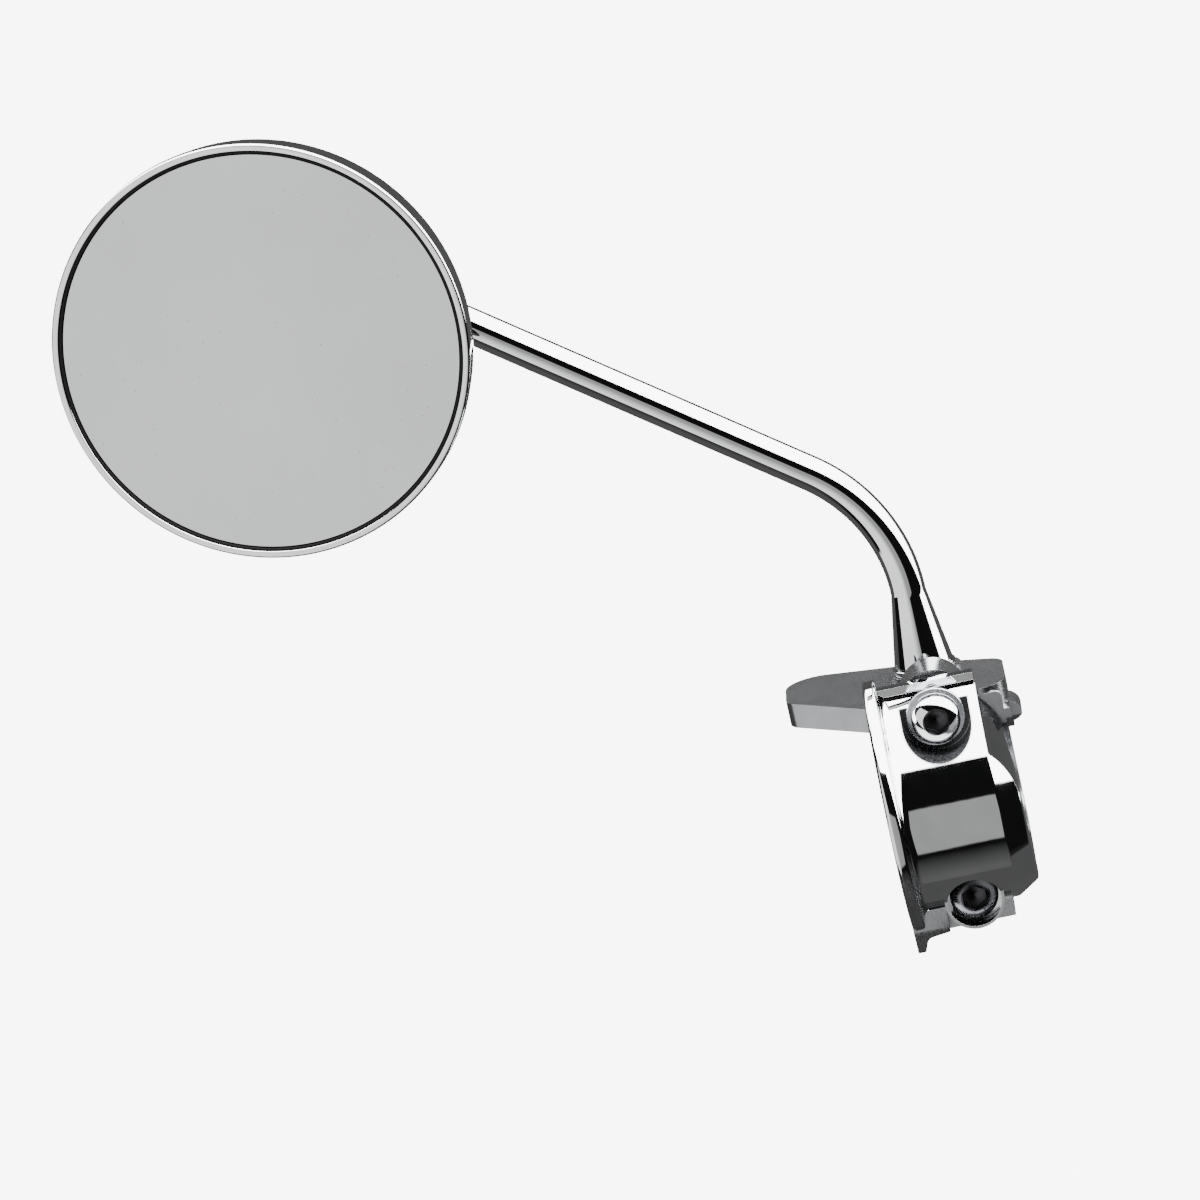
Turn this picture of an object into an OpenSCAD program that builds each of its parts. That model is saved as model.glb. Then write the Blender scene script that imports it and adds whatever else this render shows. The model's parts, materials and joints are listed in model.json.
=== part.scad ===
// Round handlebar mirror: a chromed dish on a ball joint, a bent rod stem with a
// flared foot, and a two-half clamp for a 25.4 mm handlebar.
// Frame: the bar runs along X, the rider looks along +Y, +Z is up.
// The origin is on the bar's axis, at the middle of the clamp's width.

/* [Handlebar clamp] */
// Diameter of the handlebar that the clamp holds
bar_d = 25.4; // [21:0.1:26]
// Gap between the two clamp halves
clamp_gap = 2; // [1:0.1:3]
// Width of the clamp along the bar
clamp_w = 29; // [26:0.5:34]
// Radius of the rounded front face, from the bar's axis
face_r = 25; // [24:0.1:27]
// Width of the front face between the flange and the cheek
face_w = 19.2; // [18:0.1:21]
// How far the left flange stands above the front face
flange_h = 3.6; // [2:0.1:5]
// Radius of the body of the rear half
rear_r = 20; // [18:0.5:22]
// Height of each screw above or below the bar's axis
screw_z = 20.3; // [20:0.1:22]

/* [Clamp screws] */
// Thread diameter of the clamp screws
screw_d = 6; // [5:0.5:6.5]
// Head diameter of the clamp screws
head_d = 10.6; // [9.5:0.1:11]
// Head height of the clamp screws
head_h = 5; // [4:0.1:6]
// Hexagon socket of the clamp screws, across its flats
hex_af = 5; // [4:0.5:5]
// Length of the clamp screws under the head
screw_len = 21; // [18:0.5:22]
// Outer diameter of the washer under the upper screw
screw_washer_d = 12.8; // [11.5:0.1:13.5]
// Diameter of the pocket for the upper screw
pocket_d = 15; // [14:0.1:16]
// Depth of the screw seats in front of the bar's axis
seat_y = 9.5; // [9:0.1:10.5]

/* [Bracket plate] */
// Height of the machined seat for the stem above the bar's axis
plate_z = 22.6; // [22:0.1:26]
// How far that seat stands above the plate
boss_rise = 1.3; // [0.5:0.1:2]
// Thickness of the plate
plate_t = 5.5; // [4:0.5:7]
// Height of the boss that the stem's stud passes through
boss_h = 14; // [12:0.5:16]
// Diameter of that boss
boss_d = 16; // [14:0.5:18]

/* [Stem] */
// Diameter of the stem rod
rod_d = 7.8; // [6:0.1:9]
// Diameter of the flared foot
foot_d = 13.2; // [11:0.1:15]
// Height of the flared foot
foot_h = 16.5; // [14:0.5:20]
// Distance of the foot's stud behind the bar's axis
stud_y = 22.5; // [22:0.5:25]
// Sideways offset of the foot from the middle of the clamp
stud_x = -1; // [-3:0.5:2]
// Angle of the lower bend
bend_1 = 53.7; // [40:0.1:65]
// Radius of the lower bend, at the rod's axis
bend_r1 = 38; // [28:1:48]
// Length of the straight rod between the bends
arm_len = 96.3; // [80:0.1:120]
// Angle of the upper bend, behind the head
bend_2 = 50; // [30:1:60]
// Radius of the upper bend, at the rod's axis
bend_r2 = 22; // [18:1:30]
// Length of rod between the upper bend and the middle of the eye
tip_len = 6; // [4:0.5:12]
// Diameter of the stem's eye
eye_d = 15; // [13:0.5:17]
// Thickness of the stem's eye
eye_t = 6; // [5:0.5:7]

/* [Foot fasteners] */
// Diameter of the foot's stud
stud_d = 8; // [6:0.5:8]
// Thickness of the washer under the foot
seat_washer_t = 1.2; // [0.8:0.1:2]
// Outer diameter of the foot's washers
stud_washer_d = 14; // [13:0.5:15]

/* [Ball joint] */
// Diameter of the ball
ball_d = 13; // [12:0.1:14]
// Diameter of the ball stud's neck
neck_d = 6; // [5:0.1:6.2]
// Wall of the plastic ball liner
liner_t = 1.95; // [1.6:0.05:2.4]
// Distance from the ball's centre to the middle of the eye
ball_reach = 19; // [18:0.5:24]
// Turn of the head towards the rider at rest
head_yaw = -9; // [-15:0.5:0]

/* [Head] */
// Outside diameter of the head
head_rim_d = 91; // [80:0.5:110]
// Radial width of the chrome lip around the glass
lip_w = 1.6; // [1.5:0.1:3]
// Radial width of the black gasket that shows
gasket_w = 0.6; // [0.5:0.1:1.5]
// Depth of the head from the rim to the back
head_depth = 26.5; // [24:0.5:32]
// Depth of the domed part of the back
dome_depth = 18.5; // [16:0.5:19]
// Sheet thickness of the dish and the bezel
sheet_t = 0.8; // [0.6:0.1:1.2]
// Thickness of the glass
glass_t = 3; // [2:0.1:4]

/* [Fits] */
// Radial clearance of the parts that turn in each other
run_gap = 0.05; // [0.03:0.01:0.08]
// Clearance around a screw that passes through a hole
hole_gap = 0.25; // [0.15:0.05:0.4]
// Clearance between the clamp and the washers and nut that turn below the foot
stack_gap = 0.3; // [0.2:0.05:0.5]
// Clearance between the dish and the socket that is clamped to it
dish_gap = 0.02; // [0.01:0.01:0.05]

/* [Hidden] */
$fn = 96;
eps = 0.01;

bar_r = bar_d/2;
half_gap = clamp_gap/2;
flange_r = face_r + flange_h;
flange_t = 2.9;
cove_r = clamp_w/2 - flange_t - face_w/2;
cheek_r = face_r - 3;
edge_r = 0.6;
lip_r = face_r + 1.7;
lip_t = 2.2;
right_corner_r = 16;
right_corner_z = 7;
right_corner_tilt = 17;
right_chamfer = 4.4;
pad_z = face_r + 2;
pad_front = 10.5;
pad_half = 8;
tail_tip = 3;
tail_fillet = 5;
boss_front = 15.6;
boss_r = 6.5;
counterbore_r = head_d/2 + 0.6;
rear_boss_r = 7.4;
rear_boss_y = 11.5;
screw_tip = screw_len - seat_y;
washer_t = 1.2;

stud_r = stud_d/2;
plate_top = plate_z - boss_rise;
plate_low = plate_top - plate_t;
boss_low = plate_z - boss_h;
seat_z = plate_z + seat_washer_t;
flat_washer_t = 1.4;
lock_washer_t = 1.8;
cap_nut_af = 12;
cap_nut_h = 12;
cap_nut_bore = 8.2;
stud_in_nut = 8;
// Depth of the stud in the foot, where a millimetre of wall is left around its end
stud_in_foot = min(foot_h - 3, foot_h*(foot_d - stud_d - 2)/(foot_d - rod_d));
nut_top = boss_low - flat_washer_t - lock_washer_t;
rear_flat_y = stud_y - stud_washer_d/2 - stack_gap;
shoulder_t = 3;
shoulder_out = 1.4;
shoulder_d = 13;
shoulder_z = 9;
lug_r = 3;
lug_z = 13.5;

// The stem's axis is a plane curve: up from the foot, the lower bend, the straight
// arm, the upper bend, and a short tip into the eye.  Points are [x, z].
bend_z = seat_z + foot_h;
heading_1 = 90 + bend_1;
heading_2 = heading_1 + bend_2;
centre_1 = [stud_x - bend_r1, bend_z];
arm_start = centre_1 + bend_r1*[cos(bend_1), sin(bend_1)];
arm_end = arm_start + arm_len*[cos(heading_1), sin(heading_1)];
centre_2 = arm_end + bend_r2*[cos(heading_1 + 90), sin(heading_1 + 90)];
tip_start = centre_2 + bend_r2*[cos(heading_2 - 90), sin(heading_2 - 90)];
eye = tip_start + tip_len*[cos(heading_2), sin(heading_2)];
// The straight arm runs a little way into both bends, a hair thinner than they are
arm_bite = 0.5;
arm_step = 0.04;

// The ball stud leaves the eye squarely; the head's frame has its origin at the
// ball's centre and its +Y axis along the stud, towards the back.
ball_r = ball_d/2;
ball_pos = [eye[0] + ball_reach*sin(head_yaw), stud_y - ball_reach*cos(head_yaw), eye[1]];
neck_r = neck_d/2;
stud_m6_r = neck_r;
collar_t = 1.8;
collar_r = neck_r + 1.6;
eye_face = ball_reach - eye_t/2;
eye_back = ball_reach + eye_t/2;
spring_washer_t = 1.6;
ball_nut_af = 10;
ball_nut_h = 9.5;
ball_nut_bore = 6.7;
neck_in_nut = 6.5;

liner_in = ball_r + run_gap;
liner_out = liner_in + liner_t;
seat_r = liner_out + run_gap;
liner_open = 50;
seat_open = 48;

rim_r = head_rim_d/2;
wall_r = rim_r - sheet_t;
back_y = 8.5;
front_y = back_y - head_depth;
dome_in = dome_depth - sheet_t;
dome_rim_r = wall_r - sheet_t;
dome_r = (dome_rim_r*dome_rim_r + dome_in*dome_in)/(2*dome_in);
dome_y = back_y - sheet_t - dome_r;
hub_r = 10;
ring_seat_y = dome_y + sqrt((dome_r + sheet_t)*(dome_r + sheet_t) - hub_r*hub_r) + dish_gap;
ring_nut_t = 2.3;
hub_top = ring_seat_y + ring_nut_t;
ring_nut_r = 13.5;
housing_r = 12.4;
flange_socket_r = 17.5;
retainer_t = 2;
housing_flange_t = 2.6;
socket_screw_d = 3;
socket_screw_ring = 14.6;
socket_head_h = 1.9;
slot_l = 3.2;
slot_w = 0.6;
slot_z = 1;
// The mouth lets the neck swing this far in the socket
neck_swing = 25.5;
mouth_r = hub_top*tan(neck_swing) + neck_r/cos(neck_swing) + hole_gap;

roll_r = min(0.75*sheet_t, lip_w/2);
skirt_h = 3;
lip_in = rim_r - lip_w;
shell_front = front_y + sheet_t + 0.05;
gasket_front = front_y + 0.2;
gasket_out = wall_r - sheet_t - 0.05;
glass_r = lip_in - gasket_w - 0.02;
gasket_in = glass_r + 0.03;
glass_front = front_y + 0.8;
glass_back = glass_front + glass_t;
pad_t = 1.6;
plate_back_t = 0.8;
pad_r = glass_r - 2.5;
gasket_shelf = pad_r + 0.2;

// Turns a shape whose Z axis is the bar's axis so that it lies along X
module along_bar() {
    rotate([0, 90, 0]) children();
}

// Puts a shape whose Z axis points towards the rider in place, at a height
module facing_front(z) {
    translate([0, 0, z]) rotate([90, 0, 0]) children();
}

// Turns a profile of [radius, depth] into the head's own frame, with +Y backwards
module head_turn() {
    rotate([-90, 0, 0]) rotate_extrude() children();
}

// Puts a shape drawn in the head's frame where the head stands
module in_head() {
    translate(ball_pos) rotate([0, 0, head_yaw]) children();
}

// A rod along the given heading in the stem's plane
module rod(from, heading, len, d) {
    translate([from[0], stud_y, from[1]]) rotate([0, 90 - heading, 0]) cylinder(d = d, h = len);
}

// A bend of the rod, swept in the stem's plane from one angle to another
module bend(centre, r, from, sweep, d) {
    translate([centre[0], stud_y, centre[1]])
        rotate([90, 0, 0])
            rotate([0, 0, from])
                rotate_extrude(angle = sweep) translate([r, 0]) circle(d = d);
}

module clamp_profile() {
    left = -clamp_w/2;
    right = clamp_w/2;
    square_top = left + flange_t;
    difference() {
        union() {
            translate([0, left + edge_r]) square([flange_r, flange_t - 2*edge_r]);
            translate([0, left]) square([flange_r - edge_r, flange_t]);
            translate([flange_r - edge_r, left + edge_r]) circle(r = edge_r);
            translate([flange_r - edge_r, square_top - edge_r]) circle(r = edge_r);
            translate([0, left]) square([face_r, flange_t + cove_r + face_w]);
            translate([0, square_top - eps]) square([face_r + cove_r, cove_r + eps]);
            polygon([[0, 0], [face_r, 0], [face_r, face_w/2], [cheek_r, right - edge_r],
                     [cheek_r - edge_r, right], [0, right]]);
        }
        translate([face_r + cove_r, square_top + cove_r]) circle(r = cove_r);
    }
}

module bar_bore() {
    along_bar() cylinder(r = bar_r, h = 4*clamp_w, center = true);
}

// Blade at the foot of the left flange, seen from the side and then from the front
module flange_tail() {
    left = -clamp_w/2;
    inner = left + flange_t;
    intersection() {
        translate([left, 0, 0]) rotate([90, 0, 90])
            linear_extrude(flange_t + tail_fillet)
                polygon([[-half_gap, 2 - flange_r], [-half_gap - tail_tip, -flange_r - 1.3],
                         [-half_gap - 6, -flange_r - 2.9], [-half_gap - 9, -flange_r - tail_tip],
                         [-half_gap - 11, -flange_r - 2], [-half_gap - 13, 3 - flange_r],
                         [-half_gap - 13, -screw_z], [-half_gap, -screw_z]]);
        rotate([90, 0, 0]) linear_extrude(2*face_r)
            polygon([[left, -screw_z], [left, -flange_r - tail_tip + 1],
                     [left + 0.4, -flange_r - tail_tip], [left + 1, -flange_r - tail_tip],
                     [left + 1.7, -flange_r - tail_tip/2], [inner - 0.4, -flange_r],
                     [inner + 0.6, 1 - flange_r], [inner + tail_fillet/2, 1.5 - flange_r],
                     [inner + tail_fillet, 1.6 - flange_r], [inner + tail_fillet, -screw_z]]);
    }
}

module clamp_front() {
    color("silver")
    difference() {
        union() {
            intersection() {
                along_bar() rotate_extrude() clamp_profile();
                translate([-clamp_w, -2*face_r, -2*face_r])
                    cube([2*clamp_w, 2*face_r - half_gap, 4*face_r]);
            }
            // raised lip along the top edge
            intersection() {
                along_bar() cylinder(r = lip_r, h = 2*clamp_w, center = true);
                translate([-clamp_w/2 + flange_t - eps, -half_gap - lip_t, 0])
                    cube([flange_t + face_w - 1, lip_t, 2*face_r]);
            }
            // pad and round boss for the lower screw
            translate([-clamp_w/2 + flange_t - eps, -pad_front, -pad_z])
                cube([pad_half + clamp_w/2 - flange_t, pad_front - half_gap, pad_z - screw_z/2]);
            facing_front(-screw_z) translate([0, 0, half_gap])
                cylinder(r = boss_r, h = boss_front - half_gap);
            flange_tail();
        }
        bar_bore();
        for (s = [-1, 1])
            facing_front(s*screw_z) cylinder(r = screw_d/2 + hole_gap, h = 2*face_r);
        // pocket for the upper screw, open at the top
        facing_front(screw_z) translate([0, 0, seat_y]) linear_extrude(2*face_r) {
            circle(d = pocket_d);
            translate([-pocket_d/2, 0]) square([pocket_d, face_r]);
        }
        facing_front(-screw_z) translate([0, 0, seat_y]) cylinder(r = counterbore_r, h = face_r);
        // the cheek's rounded upper corner, lower in front than behind, and cut lower corner
        rotate([90 + right_corner_tilt, 0, 0]) linear_extrude(4*face_r, center = true) difference() {
            translate([clamp_w/2 - right_corner_r, right_corner_z]) square(2*right_corner_r);
            translate([clamp_w/2 - right_corner_r, right_corner_z]) circle(r = right_corner_r);
            translate([-clamp_w/2, 0]) square([clamp_w/2 + face_w/2, 3*face_r]);
        }
        rotate([90, 0, 0]) linear_extrude(2*face_r)
            polygon([[clamp_w/2 - right_chamfer, -pad_z], [clamp_w/2 + 1, -pad_z - 1],
                     [clamp_w/2 + 1, -pad_z + right_chamfer + 2.6],
                     [clamp_w/2 - right_chamfer, -pad_z + 1.6]]);
    }
}

// The plate's corners as [x, y, radius]: two at the free end, three by the clamp
plate_corners = [
    [-clamp_w/2 - 11, stud_y + 10, 7], [-clamp_w/2 - 12, stud_y + 1.5, 6],
    [-clamp_w/2 + 3, 7, 5], [clamp_w/2 - 4.5, 7, 6], [clamp_w/2 - 4, stud_y - 3, 5.5],
    [stud_x, stud_y, boss_d/2 + 0.5]
];

module rear_plate_outline() {
    hull() for (corner = plate_corners)
        translate([corner[0], corner[1]]) circle(r = corner[2], $fn = 64);
}

module clamp_rear() {
    color("darkgray")
    difference() {
        union() {
            intersection() {
                along_bar() cylinder(r = rear_r, h = clamp_w, center = true);
                translate([-clamp_w, half_gap, -2*rear_r]) cube([2*clamp_w, 2*rear_r, 4*rear_r]);
            }
            intersection() {
                translate([0, 0, plate_low]) linear_extrude(plate_t) rear_plate_outline();
                translate([-2*clamp_w, half_gap, 0]) cube([4*clamp_w, 3*rear_r, 2*plate_z]);
            }
            translate([stud_x, stud_y, boss_low]) cylinder(d = boss_d, h = boss_h);
            translate([stud_x - boss_d/2, bar_r, boss_low + 1])
                cube([boss_d, stud_y - bar_r, boss_h - 1 - plate_t/2]);
            for (s = [-1, 1])
                translate([0, half_gap, s*screw_z]) rotate([-90, 0, 0])
                    cylinder(r = rear_boss_r, h = rear_boss_y - half_gap);
            translate([-rear_boss_r, half_gap, -screw_z]) cube([2*rear_boss_r, rear_boss_y - half_gap, 8]);
            // shoulder under the plate, with a rounded lug on it
            translate([clamp_w/2 - shoulder_t, half_gap, shoulder_z])
                cube([shoulder_t + shoulder_out, shoulder_d, plate_low + eps - shoulder_z]);
            translate([clamp_w/2 + shoulder_out/2, lug_r + half_gap, lug_z]) rotate([-90, 0, 0])
                cylinder(r = lug_r, h = 3*lug_r);
        }
        // flat back that leaves room for the washers and the nut below the foot
        translate([-clamp_w, rear_flat_y, -2*rear_r]) cube([2*clamp_w, rear_r, 2*rear_r + boss_low]);
        bar_bore();
        // the shoulder stands clear of the bar outside the clamp's width
        translate([clamp_w/2, 0, 0]) along_bar() cylinder(r = bar_r + 1, h = clamp_w);
        for (s = [-1, 1])
            translate([0, 0, s*screw_z]) rotate([-90, 0, 0])
                cylinder(r = screw_d/2, h = screw_tip + 0.6);
        translate([stud_x, stud_y, 0]) cylinder(r = stud_r + run_gap, h = 2*plate_z);
    }
}

// A round-headed hexagon socket screw; its head sits on z = 0 and its shank goes down
module cap_screw(d, len, head, height, af) {
    difference() {
        union() {
            rotate_extrude() intersection() {
                union() {
                    square([head/2, height*0.45]);
                    translate([0, height*0.45]) scale([1, height*0.55/(head/2)]) circle(d = head);
                }
                square([head, height]);
            }
            translate([0, 0, -len]) cylinder(d = d, h = len);
        }
        translate([0, 0, height*0.35]) cylinder(d = af/cos(30), h = height, $fn = 6);
    }
}

module clamp_screw_upper() {
    color("gainsboro")
    facing_front(screw_z) translate([0, 0, seat_y + washer_t])
        cap_screw(screw_d, screw_len, head_d, head_h, hex_af);
}

module clamp_screw_lower() {
    color("dimgray")
    facing_front(-screw_z) translate([0, 0, seat_y])
        cap_screw(screw_d, screw_len, head_d, head_h, hex_af);
}

module flat_ring(out_r, in_r, t) {
    difference() {
        cylinder(r = out_r, h = t);
        translate([0, 0, -1]) cylinder(r = in_r, h = t + 2);
    }
}

module clamp_washer() {
    color("lightgray")
    facing_front(screw_z) translate([0, 0, seat_y])
        flat_ring(screw_washer_d/2, screw_d/2 + hole_gap, washer_t);
}

module stem() {
    color("gainsboro")
    difference() {
        union() {
            translate([stud_x, stud_y, seat_z]) cylinder(d1 = foot_d, d2 = rod_d, h = foot_h);
            bend(centre_1, bend_r1, 0, bend_1, rod_d);
            rod(arm_start - arm_bite*[cos(heading_1), sin(heading_1)], heading_1,
                arm_len + 2*arm_bite, rod_d - arm_step);
            bend(centre_2, bend_r2, heading_1 - 90, bend_2, rod_d);
            intersection() {
                rod(tip_start, heading_2, tip_len, rod_d);
                in_head() translate([-50, eye_face, -50]) cube([100, eye_t, 100]);
            }
            in_head() rotate([-90, 0, 0]) translate([0, 0, eye_face]) cylinder(d = eye_d, h = eye_t);
        }
        in_head() rotate([-90, 0, 0]) cylinder(r = stud_m6_r, h = 60);
        // flats that let the ball stud's collar and nut seat on the eye
        in_head() rotate([-90, 0, 0]) {
            cylinder(d = eye_d, h = eye_face);
            translate([0, 0, eye_back]) cylinder(d = eye_d, h = eye_t);
        }
        translate([stud_x, stud_y, seat_z - 1]) cylinder(r = stud_r, h = stud_in_foot + 1);
    }
}

module foot_stud() {
    color("lightgray")
    translate([stud_x, stud_y, nut_top - stud_in_nut])
        cylinder(r = stud_r, h = seat_z - nut_top + stud_in_nut + stud_in_foot);
}

module foot_seat_washer() {
    color("gainsboro")
    translate([stud_x, stud_y, plate_z]) flat_ring(stud_washer_d/2, stud_r, seat_washer_t);
}

module foot_flat_washer() {
    color("lightgray")
    translate([stud_x, stud_y, boss_low - flat_washer_t])
        flat_ring(stud_washer_d/2, stud_r, flat_washer_t);
}

// A spring washer with its slanted split
module split_washer(out_r, in_r, t) {
    difference() {
        flat_ring(out_r, in_r, t);
        translate([in_r - 0.5, 0, t/2]) rotate([30, 0, 0])
            translate([0, -0.4, -2*t]) cube([out_r, 0.8, 4*t]);
    }
}

module foot_lock_washer() {
    color("gray")
    translate([stud_x, stud_y, nut_top]) split_washer(stud_r + 2.6, stud_r, lock_washer_t);
}

// A domed nut that grows downwards from z = 0
module cap_nut(af, h, bore_r, bore_h) {
    hex_h = h*0.5;
    dome = af*0.47;
    difference() {
        union() {
            intersection() {
                translate([0, 0, -hex_h]) cylinder(d = af/cos(30), h = hex_h, $fn = 6);
                translate([0, 0, -hex_h]) cylinder(r1 = af/2 + 0.1, r2 = af/2 + 0.1 + hex_h, h = hex_h);
            }
            translate([0, 0, -h + dome]) sphere(r = dome);
            translate([0, 0, -h + dome]) cylinder(r = dome, h = h - dome - eps);
        }
        translate([0, 0, -bore_h]) cylinder(r = bore_r, h = bore_h + 1);
    }
}

module foot_cap_nut() {
    color("gainsboro")
    translate([stud_x, stud_y, nut_top]) cap_nut(cap_nut_af, cap_nut_h, stud_r, cap_nut_bore);
}

module ball_stud() {
    color("silver")
    in_head() rotate([-90, 0, 0]) {
        sphere(r = ball_r);
        cylinder(r = neck_r, h = eye_back + spring_washer_t + neck_in_nut);
        translate([0, 0, eye_face - collar_t]) cylinder(r = collar_r, h = collar_t);
    }
}

module ball_stud_washer() {
    color("gray")
    in_head() rotate([-90, 0, 0]) translate([0, 0, eye_back])
        split_washer(neck_r + 2.2, neck_r, spring_washer_t);
}

module ball_stud_nut() {
    color("gainsboro")
    in_head() rotate([-90, 0, 0]) translate([0, 0, eye_back + spring_washer_t])
        rotate([180, 0, 0]) cap_nut(ball_nut_af, ball_nut_h, neck_r, ball_nut_bore);
}

module ball_liner() {
    color("ivory")
    in_head() head_turn() difference() {
        intersection() {
            circle(r = liner_out);
            polygon([[0, 0], 3*liner_out*[sin(liner_open), cos(liner_open)], [4*liner_out, 0],
                     3*liner_out*[sin(liner_open), -cos(liner_open)]]);
        }
        circle(r = liner_in);
    }
}

module socket_housing() {
    color("silver")
    in_head() difference() {
        head_turn() difference() {
            union() {
                square([flange_socket_r, housing_flange_t]);
                // the shoulder is turned to the inside of the dish
                intersection() {
                    square([housing_r, back_y]);
                    translate([0, dome_y]) circle(r = dome_r - dish_gap);
                }
                square([hub_r - dish_gap, hub_top]);
            }
            circle(r = seat_r);
            polygon([[0, 0], seat_r*[sin(seat_open), cos(seat_open)],
                     [mouth_r, hub_top], [mouth_r, hub_top + 1], [0, hub_top + 1]]);
        }
        socket_screw_places() cylinder(d = socket_screw_d, h = 2*housing_flange_t, center = true);
    }
}

module socket_screw_places() {
    for (k = [0:2])
        rotate([-90, 0, 0]) rotate([0, 0, 90 + 120*k]) translate([socket_screw_ring, 0, 0]) children();
}

module socket_retainer() {
    color("silver")
    in_head() difference() {
        head_turn() difference() {
            union() {
                translate([0, -retainer_t]) square([flange_socket_r, retainer_t]);
                intersection() {
                    circle(r = seat_r + 1.4);
                    translate([0, -2*seat_r]) square([2*seat_r, 2*seat_r]);
                }
            }
            circle(r = seat_r);
            translate([0, -3*seat_r]) square([3.5, 3*seat_r]);
        }
        socket_screw_places()
            cylinder(r = socket_screw_d/2 + hole_gap, h = 3*retainer_t, center = true);
    }
}

module socket_screws() {
    color("gray")
    in_head() socket_screw_places() translate([0, 0, -retainer_t]) rotate([180, 0, 0])
        difference() {
            union() {
                cylinder(d = socket_screw_d*1.85, h = socket_head_h);
                translate([0, 0, -retainer_t - housing_flange_t])
                    cylinder(d = socket_screw_d, h = retainer_t + housing_flange_t + eps);
            }
            for (turn = [0, 90])
                rotate([0, 0, turn]) translate([-slot_l/2, -slot_w/2, slot_z])
                    cube([slot_l, slot_w, socket_head_h]);
        }
}

module socket_ring_nut() {
    color("silver")
    in_head() difference() {
        rotate([-90, 0, 0]) translate([0, 0, ring_seat_y]) flat_ring(ring_nut_r, hub_r, ring_nut_t);
        for (k = [0:3])
            rotate([0, 90*k + 45, 0]) translate([ring_nut_r - 1.2, ring_seat_y - 1, -1.25])
                cube([3, ring_nut_t + 2, 2.5]);
    }
}

// The half of a dome's section that stands on a straight round wall
module dome_section(r, wall, from) {
    intersection() {
        translate([0, dome_y]) circle(r = r);
        translate([0, from]) square([wall, 2*head_depth]);
    }
}

module head_shell() {
    color("gainsboro")
    in_head() head_turn() difference() {
        dome_section(dome_r + sheet_t, wall_r, shell_front);
        dome_section(dome_r, dome_rim_r, front_y - 1);
        square([hub_r, 2*back_y]);
    }
}

module backing_plate() {
    color("slategray")
    in_head() head_turn() translate([5, glass_back + pad_t])
        square([gasket_out - 0.1 - 5, plate_back_t]);
}

module backing_pad() {
    color("dimgray")
    in_head() head_turn() translate([0, glass_back]) square([pad_r, pad_t]);
}

module glass_gasket() {
    color([0.05, 0.05, 0.05])
    in_head() head_turn() {
        translate([gasket_in, gasket_front]) square([lip_in - gasket_in, front_y + sheet_t - gasket_front]);
        translate([gasket_in, gasket_front])
            square([gasket_out - gasket_in, glass_back + pad_t - gasket_front]);
        translate([gasket_shelf, glass_back]) square([gasket_out - gasket_shelf, pad_t]);
    }
}

module mirror_glass() {
    color("lightsteelblue")
    in_head() rotate([-90, 0, 0]) translate([0, 0, glass_front]) cylinder(r = glass_r, h = glass_t);
}

module bezel_ring() {
    color("gainsboro")
    in_head() head_turn() difference() {
        union() {
            translate([rim_r - roll_r, front_y + roll_r]) circle(r = roll_r);
            translate([lip_in, front_y]) square([lip_w - roll_r, sheet_t]);
            translate([wall_r, front_y + roll_r]) square([sheet_t, skirt_h - roll_r]);
        }
        translate([0, front_y + sheet_t]) square([wall_r, skirt_h]);
    }
}

clamp_front();
clamp_rear();
clamp_screw_upper();
clamp_screw_lower();
clamp_washer();
stem();
foot_stud();
foot_seat_washer();
foot_flat_washer();
foot_lock_washer();
foot_cap_nut();
ball_stud();
ball_stud_washer();
ball_stud_nut();
ball_liner();
socket_housing();
socket_retainer();
socket_screws();
socket_ring_nut();
head_shell();
backing_plate();
backing_pad();
glass_gasket();
mirror_glass();
bezel_ring();
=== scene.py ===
import json
import math

import bmesh
import bpy
from mathutils import Matrix, Quaternion, Vector


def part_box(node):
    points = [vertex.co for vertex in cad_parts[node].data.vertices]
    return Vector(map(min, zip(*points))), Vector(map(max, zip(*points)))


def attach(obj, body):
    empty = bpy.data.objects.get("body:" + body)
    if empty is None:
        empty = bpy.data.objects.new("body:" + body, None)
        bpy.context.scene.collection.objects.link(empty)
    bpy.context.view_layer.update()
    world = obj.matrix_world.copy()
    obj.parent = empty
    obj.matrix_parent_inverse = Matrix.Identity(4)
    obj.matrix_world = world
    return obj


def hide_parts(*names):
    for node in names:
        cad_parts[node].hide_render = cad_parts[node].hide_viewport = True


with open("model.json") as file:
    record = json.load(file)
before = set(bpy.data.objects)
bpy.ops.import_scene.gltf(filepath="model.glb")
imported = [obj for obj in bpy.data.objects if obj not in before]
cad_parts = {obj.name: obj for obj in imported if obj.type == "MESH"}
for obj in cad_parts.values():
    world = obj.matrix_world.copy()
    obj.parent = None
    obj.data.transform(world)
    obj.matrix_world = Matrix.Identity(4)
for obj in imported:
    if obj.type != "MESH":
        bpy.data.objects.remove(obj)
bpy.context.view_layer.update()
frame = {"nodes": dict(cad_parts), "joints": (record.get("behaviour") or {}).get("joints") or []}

mm = 0.001
joints = {joint["name"]: joint for joint in frame["joints"]}
print("frame loaded:", len(frame["nodes"]), "nodes")

# The head's frame: origin at the ball, +Y along the ball stud towards the back
ballPlace = Vector(joints["head_pan"]["pos_m"]) / mm
tiltAxis = Vector(joints["head_tilt"]["axis"])
headFrame = Matrix.Translation(ballPlace) @ Matrix.Rotation(math.atan2(tiltAxis.y, tiltAxis.x), 4, "Z")
studPlace = Vector(joints["stem_swivel"]["pos_m"]) / mm


# Materials; their patterns are on Object coordinates, and sizes are in millimetres

def linearColour(hexText):
    channels = [int(hexText[i:i + 2], 16) / 255 for i in (1, 3, 5)]
    linear = [c / 12.92 if c <= 0.04045 else ((c + 0.055) / 1.055) ** 2.4 for c in channels]
    return (*linear, 1.0)


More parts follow.
